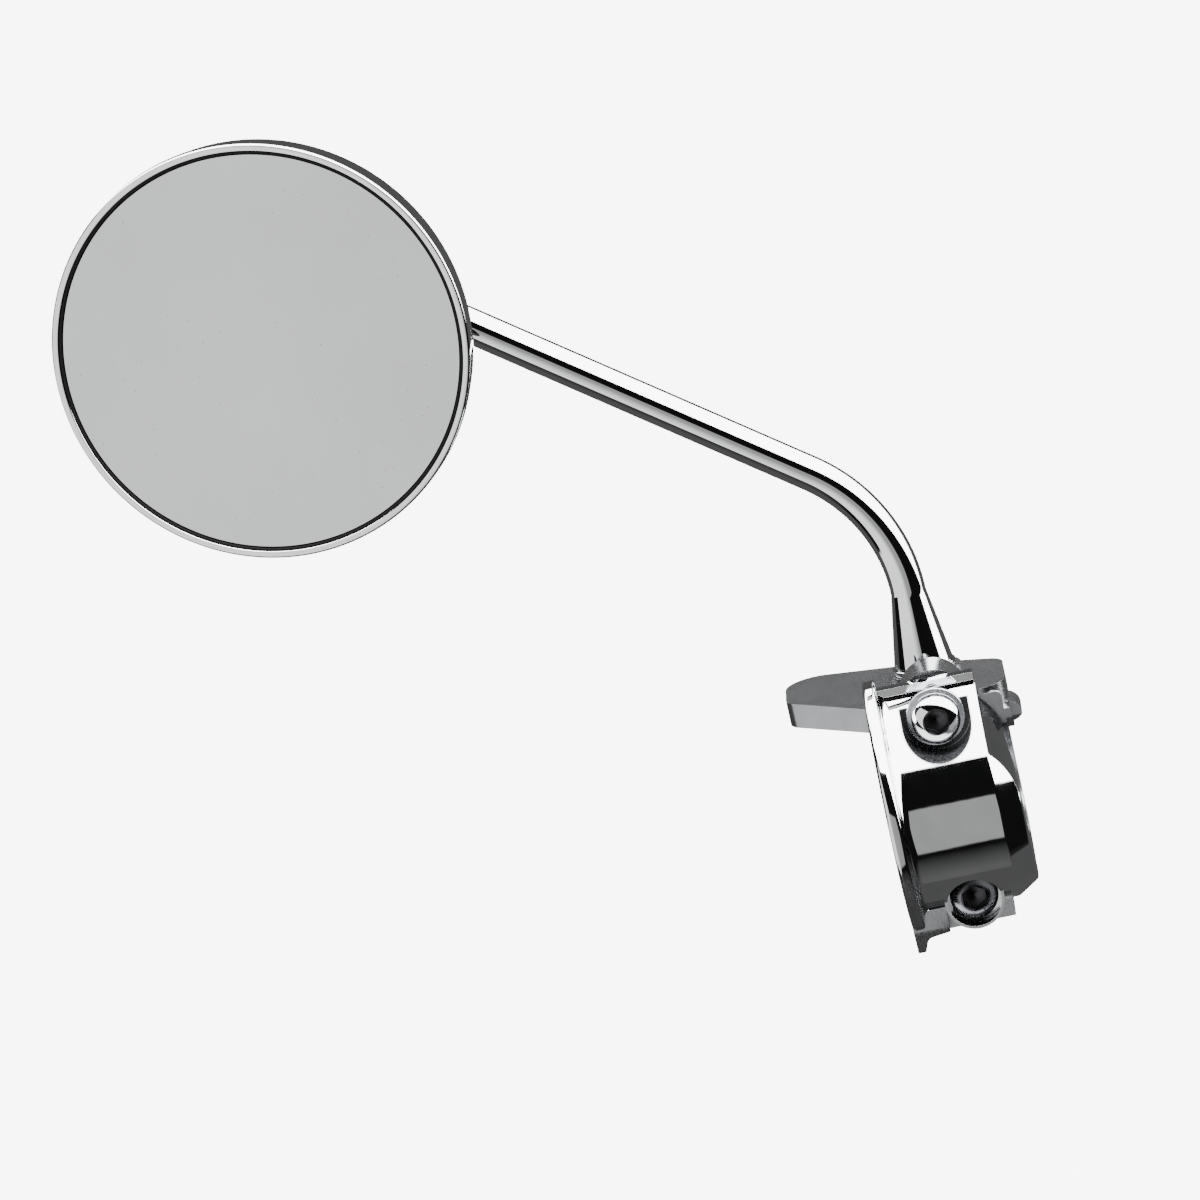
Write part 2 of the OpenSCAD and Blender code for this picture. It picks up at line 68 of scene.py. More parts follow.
def addNode(tree, kind, inputs=None, **settings):
    # An input that is itself a node stands for that node's first output
    node = tree.nodes.new("ShaderNode" + kind)
    for name, value in settings.items():
        setattr(node, name, value)
    for socket, value in (inputs or {}).items():
        if isinstance(value, bpy.types.Node):
            value = value.outputs[0]
        if isinstance(value, bpy.types.NodeSocket):
            tree.links.new(value, node.inputs[socket])
        else:
            node.inputs[socket].default_value = value
    return node


def newMaterial(name):
    material = bpy.data.materials.new(name)
    material.use_nodes = True
    tree = material.node_tree
    tree.nodes.clear()
    return material, tree, addNode(tree, "TexCoord").outputs["Object"]


def grain(tree, place, size, detail, tones, rough):
    # Natural unevenness of a surface: a noise, and the colour and roughness that follow it
    noise = addNode(tree, "TexNoise", {"Vector": place, "Scale": 1 / (size * mm), "Detail": detail})
    amount = addNode(tree, "MapRange", {0: noise, 1: 0.3, 2: 0.7})
    colour = addNode(tree, "Mix", {0: amount, 6: linearColour(tones[0]), 7: linearColour(tones[1])},
                     data_type="RGBA").outputs[2]
    return noise, colour, addNode(tree, "Mix", {0: amount, 2: rough[0], 3: rough[1]})


def specks(tree, place, spacing, width):
    # 1 in the middle of scattered specks of dust or pits, 0 between them
    cells = addNode(tree, "TexVoronoi", {"Vector": place, "Scale": 1 / (spacing * mm)})
    return addNode(tree, "MapRange", {0: cells, 1: 0.02, 2: width, 3: 1.0, 4: 0.0})


def nearLine(tree, first, second, radius, soft):
    # 1 within the radius of the line where both coordinates are 0, and 0 outside it
    flat = addNode(tree, "CombineXYZ", {0: first, 1: second})
    away = addNode(tree, "VectorMath", {0: flat}, operation="LENGTH").outputs["Value"]
    return addNode(tree, "MapRange", {0: away, 1: (radius - soft) * mm, 2: (radius + soft) * mm,
                                      3: 1.0, 4: 0.0})


def chromePlate(name, look):
    # Decorative chrome over polished steel: a near-perfect mirror, slightly blue-white, with
    # the faint waviness of the buffed metal below and a few specks of dust and tiny pits
    material, tree, place = newMaterial(name)
    haze, colour, clean = grain(tree, place, look["haze"], 3.0, look["tones"], look["rough"])
    speck = specks(tree, place, look["speckSpacing"], look["speckWidth"])
    rough = addNode(tree, "Math", {0: speck, 1: look["speckRough"], 2: clean}, operation="MULTIPLY_ADD")
    wave = addNode(tree, "TexNoise", {"Vector": place, "Scale": 1 / (look["wave"] * mm), "Detail": 1.0})
    bump = addNode(tree, "Bump", {"Height": wave, "Strength": look["waveStrength"],
                                  "Distance": look["waveHeight"] * mm})
    shader = addNode(tree, "BsdfPrincipled", {"Base Color": colour, "Roughness": rough, "Normal": bump,
                                              "Metallic": 1.0})
    addNode(tree, "OutputMaterial", {"Surface": shader})
    return material


chromeLook = {"haze": 6, "tones": ("#dcdddf", "#e6e7e8"), "rough": (0.02, 0.045), "speckSpacing": 2.6,
              "speckWidth": 0.05, "speckRough": 0.25, "wave": 9, "waveStrength": 0.15, "waveHeight": 0.02}
polishedChrome = chromePlate("polishedChromePlate", chromeLook)
fastenerChrome = chromePlate("fastenerChromePlate", dict(chromeLook, wave=3, waveStrength=0.1))


def capScrewSteel(name, look):
    # Plated cap screw: smooth dome, and a broached hexagon socket that is dull, with its inside coloured
    # dark as painted shade
    material, tree, place = newMaterial(name)
    x, y, z = addNode(tree, "SeparateXYZ", {"Vector": place}).outputs
    height = addNode(tree, "Math", {0: addNode(tree, "Math", {0: z}, operation="ABSOLUTE"),
                                    1: look["height"] * mm}, operation="SUBTRACT")
    socket = nearLine(tree, x, height, look["socket"], 0.05)
    noise, dome, domeRough = grain(tree, place, look["grain"], 3.0, look["tones"], look["rough"])
    # The socket's dark colour is painted shade inside the hexagon recess
    colour = addNode(tree, "Mix", {0: socket, 6: dome, 7: linearColour(look["socketShadeTone"])},
                     data_type="RGBA").outputs[2]
    rough = addNode(tree, "Mix", {0: socket, 2: domeRough, 3: look["socketRough"]})
    bump = addNode(tree, "Bump", {"Height": noise, "Strength": 0.1, "Distance": 0.01 * mm})
    shader = addNode(tree, "BsdfPrincipled", {"Base Color": colour, "Roughness": rough, "Normal": bump,
                                              "Metallic": 1.0})
    addNode(tree, "OutputMaterial", {"Surface": shader})
    return material


screwLook = {"height": 20.3, "socket": 2.95, "socketShadeTone": "#3c3c3e", "socketRough": 0.3, "grain": 1.5,
             "tones": ("#d9dadc", "#e4e5e6"), "rough": (0.03, 0.07)}
screwChrome = capScrewSteel("capScrewChromePlate", screwLook)
# The lower screw is plated like the upper one; its darker colour is painted shade, and it is rougher
shadedScrewChrome = capScrewSteel("capScrewChromePaintedShade", dict(
    screwLook, grain=0.5, tones=("#56575a", "#68696c"), rough=(0.22, 0.36)))


def polishedCasting(name, look):
    # Die casting buffed to a mirror on its open faces; the screw pocket and the pad round the lower screw,
    # out of a buffing wheel's reach, keep the plated grain of the casting. The pocket's dark colour is
    # painted shade in the recess
    material, tree, place = newMaterial(name)
    x, y, z = addNode(tree, "SeparateXYZ", {"Vector": place}).outputs
    screw = look["screw"] * mm
    overScrew = addNode(tree, "Math", {0: z, 1: screw}, operation="SUBTRACT")
    underScrew = addNode(tree, "Math", {0: overScrew, 1: 0.0}, operation="MINIMUM")
    inPocket = nearLine(tree, x, underScrew, look["pocket"], 0.3)
    behindFace = addNode(tree, "MapRange", {0: y, 1: (0.2 - look["seat"]) * mm,
                                            2: (0.4 - look["seat"]) * mm, 3: 1.0, 4: 0.0})
    pocket = addNode(tree, "Math", {0: inPocket, 1: behindFace}, operation="MULTIPLY")
    overLower = addNode(tree, "Math", {0: z, 1: screw}, operation="ADD")
    clearOfBoss = addNode(tree, "Math", {0: 1.0, 1: nearLine(tree, x, overLower, look["boss"], 0.3)},
                          operation="SUBTRACT")
    pastFace = addNode(tree, "Math", {0: 1.0, 1: nearLine(tree, y, z, look["face"], 0.1)},
                       operation="SUBTRACT")
    low = addNode(tree, "MapRange", {0: z, 1: (look["padTop"] - 1.5) * mm, 2: (look["padTop"] + 1.5) * mm,
                                     3: 1.0, 4: 0.0})
    pad = addNode(tree, "Math", {0: pastFace, 1: clearOfBoss}, operation="MULTIPLY")
    pad = addNode(tree, "Math", {0: pad, 1: low}, operation="MULTIPLY")
    skin = addNode(tree, "Math", {0: pocket, 1: pad}, operation="MAXIMUM")
    haze, buffed, buffedRough = grain(tree, place, look["haze"], 3.0, look["tones"], look["rough"])
    noise, padTone, skinRough = grain(tree, place, look["grain"], 4.0, look["padTones"],
                                      look["skinRough"])
    # The screw pocket's dark tones are painted shade inside the recess, not a colour of the metal
    pocketShadeTone = grain(tree, place, look["grain"], 4.0, look["pocketShadeTones"], look["skinRough"])[1]
    padGrainAndPocketShadeTone = addNode(tree, "Mix", {0: pocket, 6: padTone, 7: pocketShadeTone}, data_type="RGBA").outputs[2]
    colour = addNode(tree, "Mix", {0: skin, 6: buffed, 7: padGrainAndPocketShadeTone}, data_type="RGBA").outputs[2]
    rough = addNode(tree, "Mix", {0: skin, 2: buffedRough, 3: skinRough})
    wave = addNode(tree, "TexNoise", {"Vector": place, "Scale": 1 / (look["wave"] * mm), "Detail": 1.0})
    relief = addNode(tree, "Mix", {0: skin, 2: wave, 3: noise})
    bump = addNode(tree, "Bump", {"Height": relief, "Strength": 0.4, "Distance": 0.04 * mm})
    shader = addNode(tree, "BsdfPrincipled", {"Base Color": colour, "Roughness": rough, "Normal": bump,
                                              "Metallic": 1.0})
    addNode(tree, "OutputMaterial", {"Surface": shader})
    return material


castChrome = polishedCasting("polishedChromeCasting", {
    "screw": 20.3, "pocket": 7.65, "seat": 9.5, "boss": 6.7, "face": 25.3, "padTop": -9, "haze": 6,
    "tones": ("#dcdddf", "#e6e7e8"), "rough": (0.02, 0.06), "grain": 0.35, "wave": 5,
    "padTones": ("#a2a3a5", "#c0c1c3"), "pocketShadeTones": ("#303031", "#565758"), "skinRough": (0.18, 0.34)})


def satinCasting(name, look):
    # Die casting with a thin satin chrome: grey, with soft broad reflections and a fine sand grain
    material, tree, place = newMaterial(name)
    colour = grain(tree, place, look["patch"], 2.0, look["tones"], look["rough"])[1]
    sand = addNode(tree, "TexNoise", {"Vector": place, "Scale": 1 / (look["grain"] * mm), "Detail": 5.0})
    rough = addNode(tree, "MapRange", {0: sand, 1: 0.3, 2: 0.7, 3: look["rough"][0], 4: look["rough"][1]})
    bump = addNode(tree, "Bump", {"Height": sand, "Strength": 0.15, "Distance": 0.02 * mm})
    shader = addNode(tree, "BsdfPrincipled", {"Base Color": colour, "Roughness": rough, "Normal": bump,
                                              "Metallic": 1.0})
    addNode(tree, "OutputMaterial", {"Surface": shader})
    return material


satinCast = satinCasting("satinChromeCasting", {
    "grain": 0.25, "patch": 8, "tones": ("#9b9c9e", "#a5a6a8"), "rough": (0.18, 0.25)})


def machinedSteel(name, look):
    # Turned steel with a thin zinc layer: fine tool marks show as soft streaks
    material, tree, place = newMaterial(name)
    marks, colour, rough = grain(tree, place, look["grain"], 4.0, look["tones"], look["rough"])
    bump = addNode(tree, "Bump", {"Height": marks, "Strength": 0.2, "Distance": 0.01 * mm})
    shader = addNode(tree, "BsdfPrincipled", {"Base Color": colour, "Roughness": rough, "Normal": bump,
                                              "Metallic": 1.0})
    addNode(tree, "OutputMaterial", {"Surface": shader})
    return material


zincSteel = machinedSteel("zincPlatedSteel", {
    "grain": 0.6, "tones": ("#a9adb2", "#c9ccd0"), "rough": (0.18, 0.32)})


def silveredGlass(name, look):
    # Flat float glass silvered on its back: a clear mirror under a clear coat, with faint
    # smudges and a few dust specks
    material, tree, place = newMaterial(name)
    smudge, clear, rough = grain(tree, place, look["smudge"], 4.0, look["tones"], look["rough"])
    speck = specks(tree, place, look["speckSpacing"], look["speckWidth"])
    colour = addNode(tree, "Mix", {0: speck, 6: clear, 7: linearColour(look["dust"])},
                     data_type="RGBA").outputs[2]
    shader = addNode(tree, "BsdfPrincipled", {"Base Color": colour, "Roughness": rough, "Metallic": 1.0,
                                              "Coat Weight": 0.6, "Coat Roughness": 0.01})
    addNode(tree, "OutputMaterial", {"Surface": shader})
    return material


mirrorGlass = silveredGlass("silveredFloatGlass", {
    "smudge": 30, "tones": ("#bcbebe", "#c2c4c4"), "rough": (0.0, 0.03), "speckSpacing": 3,
    "speckWidth": 0.06, "dust": "#767676"})


def mouldedPolymer(name, look):
    # Moulded rubber, foam or nylon: fine mould grain, soft highlights
    material, tree, place = newMaterial(name)
    skin, colour, rough = grain(tree, place, look["grain"], 3.0, look["tones"], look["rough"])
    bump = addNode(tree, "Bump", {"Height": skin, "Strength": look["bump"], "Distance": 0.05 * mm})
    shader = addNode(tree, "BsdfPrincipled", {"Base Color": colour, "Roughness": rough, "Normal": bump,
                                              "Specular IOR Level": look["shine"]})
    addNode(tree, "OutputMaterial", {"Surface": shader})
    return material


gasketRubber = mouldedPolymer("mouldedRubber", {
    "grain": 0.4, "tones": ("#040404", "#0a0a0a"), "rough": (0.5, 0.7), "bump": 0.3, "shine": 0.1})
linerNylon = mouldedPolymer("mouldedNylon", {
    "grain": 0.5, "tones": ("#d9d5c8", "#e6e3d8"), "rough": (0.35, 0.5), "bump": 0.2, "shine": 0.5})
padFoam = mouldedPolymer("closedCellFoam", {
    "grain": 0.8, "tones": ("#202123", "#34363a"), "rough": (0.8, 0.95), "bump": 0.8, "shine": 0.3})
print("materials made")


# Mesh helpers; every shape is drawn in millimetres and turned to metres when it is finished

def roundedOutline(corners, step=12):
    # corners are (x, y) or (x, y, radius); round corners become arcs with a point each step degrees
    points = []
    count = len(corners)
    for i, corner in enumerate(corners):
        here = Vector(corner[:2])
        radius = corner[2] if len(corner) > 2 else 0
        if radius == 0:
            points.append(here)
            continue
        before = (Vector(corners[i - 1][:2]) - here).normalized()
        after = (Vector(corners[(i + 1) % count][:2]) - here).normalized()
        half = before.angle(after) / 2
        centre = here + (before + after).normalized() * radius / math.sin(half)
        start = here + before * radius / math.tan(half) - centre
        turn = (math.pi - 2 * half) * (1 if before.cross(after) < 0 else -1)
        parts = max(2, round(abs(math.degrees(turn)) / step))
        for k in range(parts + 1):
            points.append(centre + Matrix.Rotation(turn * k / parts, 2) @ start)
    return points


def lathe(outline, steps, closed=True):
    # Spins an outline of (radius, depth) about the Y axis
    shape = bmesh.new()
    verts = [shape.verts.new((r, y, 0)) for r, y in outline]
    pairs = list(zip(verts, verts[1:])) + ([(verts[-1], verts[0])] if closed else [])
    edges = [shape.edges.new(pair) for pair in pairs]
    bmesh.ops.spin(shape, geom=verts + edges, cent=(0, 0, 0), axis=(0, 1, 0),
                   angle=math.tau, steps=steps, use_merge=True)
    bmesh.ops.remove_doubles(shape, verts=shape.verts, dist=1e-4)
    bmesh.ops.recalc_face_normals(shape, faces=shape.faces)
    return shape


def prism(outline, depth):
    # A flat outline in X and Y, pulled along +Z
    shape = bmesh.new()
    face = shape.faces.new([shape.verts.new((x, y, 0)) for x, y in outline])
    pulled = bmesh.ops.extrude_face_region(shape, geom=[face])
    verts = [v for v in pulled["geom"] if isinstance(v, bmesh.types.BMVert)]
    bmesh.ops.translate(shape, vec=(0, 0, depth), verts=verts)
    bmesh.ops.recalc_face_normals(shape, faces=shape.faces)
    return shape


def disc(radius, depth, segments=64):
    # A short cylinder along +Z that stands on z = 0
    shape = bmesh.new()
    bmesh.ops.create_cone(shape, cap_ends=True, segments=segments, radius1=radius, radius2=radius,
                          depth=depth, matrix=Matrix.Translation((0, 0, depth / 2)))
    return shape


def block(low, high):
    shape = bmesh.new()
    bmesh.ops.create_cube(shape, size=1)
    low, high = Vector(low), Vector(high)
    bmesh.ops.scale(shape, vec=high - low, verts=shape.verts)
    bmesh.ops.translate(shape, vec=(low + high) / 2, verts=shape.verts)
    return shape


def placed(shape, matrix):
    bmesh.ops.transform(shape, matrix=matrix, verts=shape.verts)
    return shape


def asObject(shape, name="working"):
    mesh = bpy.data.meshes.new(name)
    shape.to_mesh(mesh)
    shape.free()
    piece = bpy.data.objects.new(name, mesh)
    bpy.context.scene.collection.objects.link(piece)
    return piece


def bakeModifiers(piece):
    graph = bpy.context.evaluated_depsgraph_get()
    graph.update()
    mesh = bpy.data.meshes.new_from_object(piece.evaluated_get(graph), preserve_all_data_layers=True,
                                           depsgraph=graph)
    piece.modifiers.clear()
    piece.data = mesh


def joined(base, others, operation):
    # Adds the other shapes to the base, or cuts them out of it
    piece = base if isinstance(base, bpy.types.Object) else asObject(base)
    tools = [asObject(other) for other in others]
    for tool in tools:
        modifier = piece.modifiers.new("join", "BOOLEAN")
        modifier.operation = operation
        modifier.solver = "EXACT"
        modifier.object = tool
    bakeModifiers(piece)
    for tool in tools:
        bpy.data.objects.remove(tool)
    return piece


def asMesh(piece):
    shape = bmesh.new()
    shape.from_mesh(piece.data)
    bpy.data.objects.remove(piece)
    return shape


def tidied(piece):
    # Joins the slivers that cutting leaves, and merges faces that lie in one plane
    shape = bmesh.new()
    shape.from_mesh(piece.data)
    bmesh.ops.remove_doubles(shape, verts=shape.verts, dist=0.01)
    bmesh.ops.dissolve_limit(shape, angle_limit=math.radians(0.3), verts=shape.verts, edges=shape.edges)
    bmesh.ops.dissolve_degenerate(shape, dist=0.01, edges=shape.edges)
    shape.to_mesh(piece.data)
    shape.free()
    return piece


def softened(piece, width, angle=32, segments=3):
    bevel = piece.modifiers.new("soften", "BEVEL")
    bevel.width = width
    bevel.segments = segments
    bevel.limit_method = "ANGLE"
    bevel.angle_limit = math.radians(angle)
    bevel.profile = 0.5
    piece.data.shade_smooth()
    normals = piece.modifiers.new("even", "WEIGHTED_NORMAL")
    normals.weight = 50
    bakeModifiers(piece)
    return piece


def finished(piece, name, material, body, nodes, sharp=50):
    if not isinstance(piece, bpy.types.Object):
        piece = asObject(piece)
    piece.data.transform(Matrix.Scale(mm, 4))
    piece.name = name
    piece.data.name = name
    piece.data.materials.clear()
    piece.data.materials.append(material)
    if not piece.data.has_custom_normals:
        piece.data.shade_smooth()
        piece.data.set_sharp_from_angle(angle=math.radians(sharp))
    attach(piece, body)
    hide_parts(*nodes)
    return piece


# Head

head = {"rim": 45.5, "lip": 1.6, "roll": 0.6, "gasket": 0.6, "depth": 26.5, "back": 8.5, "dome": 18.5,
        "sheet": 0.8, "glass": 3, "skirt": 3, "hub": 10, "steps": 240}
headFront = head["back"] - head["depth"]
wallRadius = head["rim"] - head["sheet"]


def domeCurve(gap=0.0):
    inRadius = wallRadius - head["sheet"]
    domeIn = head["dome"] - head["sheet"]
    radius = (inRadius ** 2 + domeIn ** 2) / (2 * domeIn)
    return radius - gap, head["back"] - head["sheet"] - radius


def bezel():
    # Rolled chrome rim: a flat lip that turns over a bead into a straight skirt
    sheet = head["sheet"]
    lipIn = head["rim"] - head["lip"]
    outline = roundedOutline([
        (lipIn, headFront, 0.3), (head["rim"], headFront, head["roll"]),
        (head["rim"], headFront + head["skirt"], 0.25),
        (wallRadius + 0.02, headFront + head["skirt"], 0.25),
        (wallRadius + 0.02, headFront + sheet), (lipIn, headFront + sheet, 0.3)], 8)
    return placed(lathe(outline, head["steps"]), headFrame)


finished(bezel(), "bezelRing", polishedChrome, "head", ["bezel_ring"], 60)


def shell():
    # Spun dish: a shallow dome with a straight wall and a hole for the ball joint
    sheet = head["sheet"]
    inRadius = wallRadius - sheet
    domeRadius, centre = domeCurve()

    def arc(radius, fromR, toR, parts):
        radii = [fromR + (toR - fromR) * k / parts for k in range(parts + 1)]
        return [(r, centre + math.sqrt(radius ** 2 - r ** 2)) for r in radii]

    front = headFront + sheet + 0.05
    hub = head["hub"] + 0.02
    outline = (arc(domeRadius + sheet, hub, wallRadius, 40) + [(wallRadius, front)]
               + [(inRadius, front)] + arc(domeRadius, inRadius, hub, 40))
    return placed(lathe(outline, head["steps"]), headFrame)


finished(shell(), "headShell", polishedChrome, "head", ["head_shell"], 25)


def glass():
    # The glass has a fine ground bevel at its edge
    radius = head["rim"] - head["lip"] - head["gasket"] - 0.02
    front = headFront + 0.8
    outline = [(0, front), (radius - 0.25, front), (radius, front + 0.25),
               (radius, front + head["glass"] - 0.25), (radius - 0.25, front + head["glass"]),
               (0, front + head["glass"])]
    return placed(lathe(outline, head["steps"], closed=False), headFrame)


finished(glass(), "mirrorGlass", mirrorGlass, "head", ["mirror_glass"], 20)


def gasket():
    # Black ring between the glass and the chrome lip, with a rounded bead in front
    outRadius = wallRadius - head["sheet"] - 0.05
    glassRadius = head["rim"] - head["lip"] - head["gasket"] - 0.02
    lipRadius = head["rim"] - head["lip"]
    back = headFront + 0.8 + head["glass"]
    lipBack = headFront + head["sheet"] - 0.02
    outline = roundedOutline([
        (glassRadius + 0.03, headFront + 0.22, 0.25), (lipRadius - 0.02, headFront + 0.22, 0.2),
        (lipRadius - 0.02, lipBack), (outRadius, lipBack),
        (outRadius, back + 1.6), (glassRadius - 2.3, back + 1.6), (glassRadius - 2.3, back + 0.02),
        (glassRadius + 0.03, back + 0.02)], 15)
    return placed(lathe(outline, head["steps"]), headFrame)


finished(gasket(), "glassGasket", gasketRubber, "head", ["glass_gasket"], 40)
print("head made")

# Ball joint

joint = {"ball": 6.5, "neck": 3, "reach": 19, "eye": 7.5, "eyeThick": 6, "collar": 4.6,
         "washer": 1.6, "nutAcross": 10, "nutTall": 9.5}
eyeFace = joint["reach"] - joint["eyeThick"] / 2
eyeBack = joint["reach"] + joint["eyeThick"] / 2
alongStud = headFrame @ Matrix.Rotation(math.radians(-90), 4, "X")   # +Z runs back along the stud


def ballStud():
    ball, neck = joint["ball"], joint["neck"]
    rise = math.sqrt(ball ** 2 - neck ** 2)
    parts = 28
    start = math.atan2(neck, rise)
    arc = [(ball * math.sin(a), ball * math.cos(a))
           for a in [math.pi - (math.pi - start) * k / parts for k in range(parts + 1)]]
    arc[0] = (0, -ball)
    rest = roundedOutline([
        (neck, eyeFace - 1.8), (joint["collar"], eyeFace - 1.8, 0.3), (joint["collar"], eyeFace),
        (neck, eyeFace), (neck, eyeBack + joint["washer"] + 6.5), (0, eyeBack + joint["washer"] + 6.5)])
    return placed(lathe(arc + [tuple(p) for p in rest], 64, closed=False), headFrame)


finished(ballStud(), "ballStud", fastenerChrome, "stem_arm", ["ball_stud"], 40)


def domeNut(across, tall, bore, boreDeep):
    # Domed nut that stands on z = 0 and rises along +Z
    hexTall = tall * 0.5
    dome = across * 0.47
    hexagon = disc(across / 2 / math.cos(math.radians(30)), hexTall, 6)
    trim = across / 2 + 0.1
    cone = bmesh.new()
    bmesh.ops.create_cone(cone, cap_ends=True, segments=96, radius1=trim + hexTall, radius2=trim,
                          depth=hexTall, matrix=Matrix.Translation((0, 0, hexTall / 2)))
    nut = joined(hexagon, [cone], "INTERSECT")
    parts = 14
    outline = [(0, 0.3), (dome, 0.3)] + [
        (dome * math.cos(a), tall - dome + dome * math.sin(a))
        for a in [math.pi / 2 * k / parts for k in range(parts)]] + [(0, tall)]
    nut = joined(nut, [placed(lathe(outline, 96, closed=False), Matrix.Rotation(math.pi / 2, 4, "X")
                              )], "UNION")
    nut = joined(nut, [placed(disc(bore, boreDeep + 1), Matrix.Translation((0, 0, -1)))], "DIFFERENCE")
    return softened(tidied(nut), 0.25)


def moved(piece, matrix):
    piece.data.transform(matrix)
    return piece


studNut = domeNut(joint["nutAcross"], joint["nutTall"], joint["neck"] + 0.01, 6.6)
finished(moved(studNut, alongStud @ Matrix.Translation((0, 0, eyeBack + joint["washer"]))),
         "ballStudNut", fastenerChrome, "stem_arm", ["ball_stud_nut"])


def ring(inner, outer, thick, edge=0.2, steps=96):
    # A flat washer along +Z from z = 0, with its edges broken
    outline = roundedOutline([(inner, 0, edge), (outer, 0, edge), (outer, thick, edge),
                              (inner, thick, edge)], 30)
    return placed(lathe(outline, steps), Matrix.Rotation(math.pi / 2, 4, "X"))


def splitRing(inner, outer, thick):
    # A spring washer has a slanted cut through it
    gap = placed(block((inner - 0.5, -0.4, -2 * thick), (outer + 1, 0.4, 2 * thick)),
                 Matrix.Translation((0, 0, thick / 2)) @ Matrix.Rotation(math.radians(30), 4, "X"))
    return joined(ring(inner, outer, thick, 0.15), [gap], "DIFFERENCE")


finished(moved(splitRing(joint["neck"] + 0.01, joint["neck"] + 2.2, joint["washer"]),
               alongStud @ Matrix.Translation((0, 0, eyeBack))),
         "ballStudWasher", zincSteel, "stem_arm", ["ball_stud_washer"], 35)


socket = {"flange": 17.5, "flangeThick": 2.6, "body": 12.4, "seat": 8.55, "open": 48, "swing": 25.5,
          "nut": 13.5, "nutThick": 2.3}


def ringNutSeat():
    radius, centre = domeCurve()
    return centre + math.sqrt((radius + head["sheet"]) ** 2 - head["hub"] ** 2) + 0.02


def housing():
    # Turned socket: a flange for the screws, a shoulder against the dish, a hub and a round seat
    radius, centre = domeCurve(0.02)
    top = ringNutSeat() + socket["nutThick"]
    swing = math.radians(socket["swing"])
    mouth = top * math.tan(swing) + joint["neck"] / math.cos(swing) + 0.25
    seat = [(socket["seat"] * math.sin(a), socket["seat"] * math.cos(a))
            for a in [math.radians(socket["open"] + (90 - socket["open"]) * k / 16) for k in range(17)]]
    shoulder = [(r, centre + math.sqrt(radius ** 2 - r ** 2))
                for r in [socket["body"] + (head["hub"] - socket["body"]) * k / 4 for k in range(5)]]
    outline = seat + [(socket["flange"], 0), (socket["flange"], socket["flangeThick"]),
                      (socket["body"], socket["flangeThick"])] + shoulder + [
        (head["hub"] - 0.02, top - 0.4), (head["hub"] - 0.42, top), (mouth + 0.2, top)]
    return placed(lathe(outline, 128), headFrame)


finished(housing(), "socketHousing", fastenerChrome, "head", ["socket_housing"], 30)


def ringNut():
    # Slotted ring nut that clamps the dish against the socket
    low = ringNutSeat()
    nut = ring(head["hub"], socket["nut"], socket["nutThick"], 0.25, 128)
    slots = [placed(block((socket["nut"] - 1.2, -1.25, -1), (socket["nut"] + 2, 1.25, 4)),
                    Matrix.Rotation(math.radians(45 + 90 * k), 4, "Z")) for k in range(4)]
    piece = joined(nut, slots, "DIFFERENCE")
    return moved(softened(piece, 0.15, 40, 2), alongStud @ Matrix.Translation((0, 0, low)))


finished(ringNut(), "socketRingNut", fastenerChrome, "head", ["socket_ring_nut"])
print("ball joint made")

# Stem

stem = {"rod": 3.9, "foot": 6.6, "footTall": 16.5, "bend1": 53.7, "radius1": 38, "arm": 96.3,
        "bend2": 50, "radius2": 22, "tip": 6, "sides": 96}
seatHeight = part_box("foot_seat_washer")[1][2] / mm


def stemRod():
    shape = bmesh.new()
    made = bmesh.ops.create_circle(shape, cap_ends=True, segments=stem["sides"], radius=stem["foot"] - 0.4)
    bmesh.ops.translate(shape, vec=(studPlace.x, studPlace.y, seatHeight), verts=made["verts"])
    edges = [e for e in shape.edges]

    def pull(edges, vec, radius=None):
        made = bmesh.ops.extrude_edge_only(shape, edges=edges)["geom"]
        verts = [g for g in made if isinstance(g, bmesh.types.BMVert)]
        bmesh.ops.translate(shape, vec=vec, verts=verts)
        if radius:
            centre = sum((v.co for v in verts), Vector()) / len(verts)
            now = (verts[0].co - centre).length
            bmesh.ops.scale(shape, vec=(radius / now, radius / now, 1), verts=verts,
                            space=Matrix.Translation(-centre))
        return [g for g in made if isinstance(g, bmesh.types.BMEdge) and g.is_boundary]

    # the foot's profile: a broken edge, a straight cone, and a soft run into the rod
    tall = stem["footTall"]
    slope = (stem["foot"] - stem["rod"]) / tall
    heights = [0.12, 0.28, 0.4] + [1 + k for k in range(0, 16)]
    last = 0
    for z in heights:
        radius = stem["foot"] - slope * z
        if z < 0.4:
            radius -= 0.4 * (1 - math.sqrt(1 - ((0.4 - z) / 0.4) ** 2))
        edges = pull(edges, (0, 0, z - last), radius)
        last = z
    edges = pull(edges, (0, 0, tall - last), stem["rod"])

    def swing(edges, centre, angle, steps):
        made = bmesh.ops.spin(shape, geom=edges, cent=centre, axis=(0, -1, 0),
                              angle=math.radians(angle), steps=steps, use_merge=False)
        return [g for g in made["geom_last"] if isinstance(g, bmesh.types.BMEdge)]

    plane = studPlace.y
    bendTop = seatHeight + tall
    centre1 = Vector((studPlace.x - stem["radius1"], plane, bendTop))
    edges = swing(edges, centre1, stem["bend1"], 36)
    heading = math.radians(90 + stem["bend1"])
    way = Vector((math.cos(heading), 0, math.sin(heading)))
    for k in range(8):
        edges = pull(edges, way * stem["arm"] / 8)
    armEnd = (centre1 + Matrix.Rotation(-math.radians(stem["bend1"]), 3, "Y")
              @ Vector((stem["radius1"], 0, 0)) + way * stem["arm"])
    left = Vector((-way.z, 0, way.x))
    edges = swing(edges, armEnd + left * stem["radius2"], stem["bend2"], 28)
    heading += math.radians(stem["bend2"])
    edges = pull(edges, Vector((math.cos(heading), 0, math.sin(heading))) * stem["tip"])
    bmesh.ops.edgeloop_fill(shape, edges=edges)
    bmesh.ops.recalc_face_normals(shape, faces=shape.faces)
    return shape


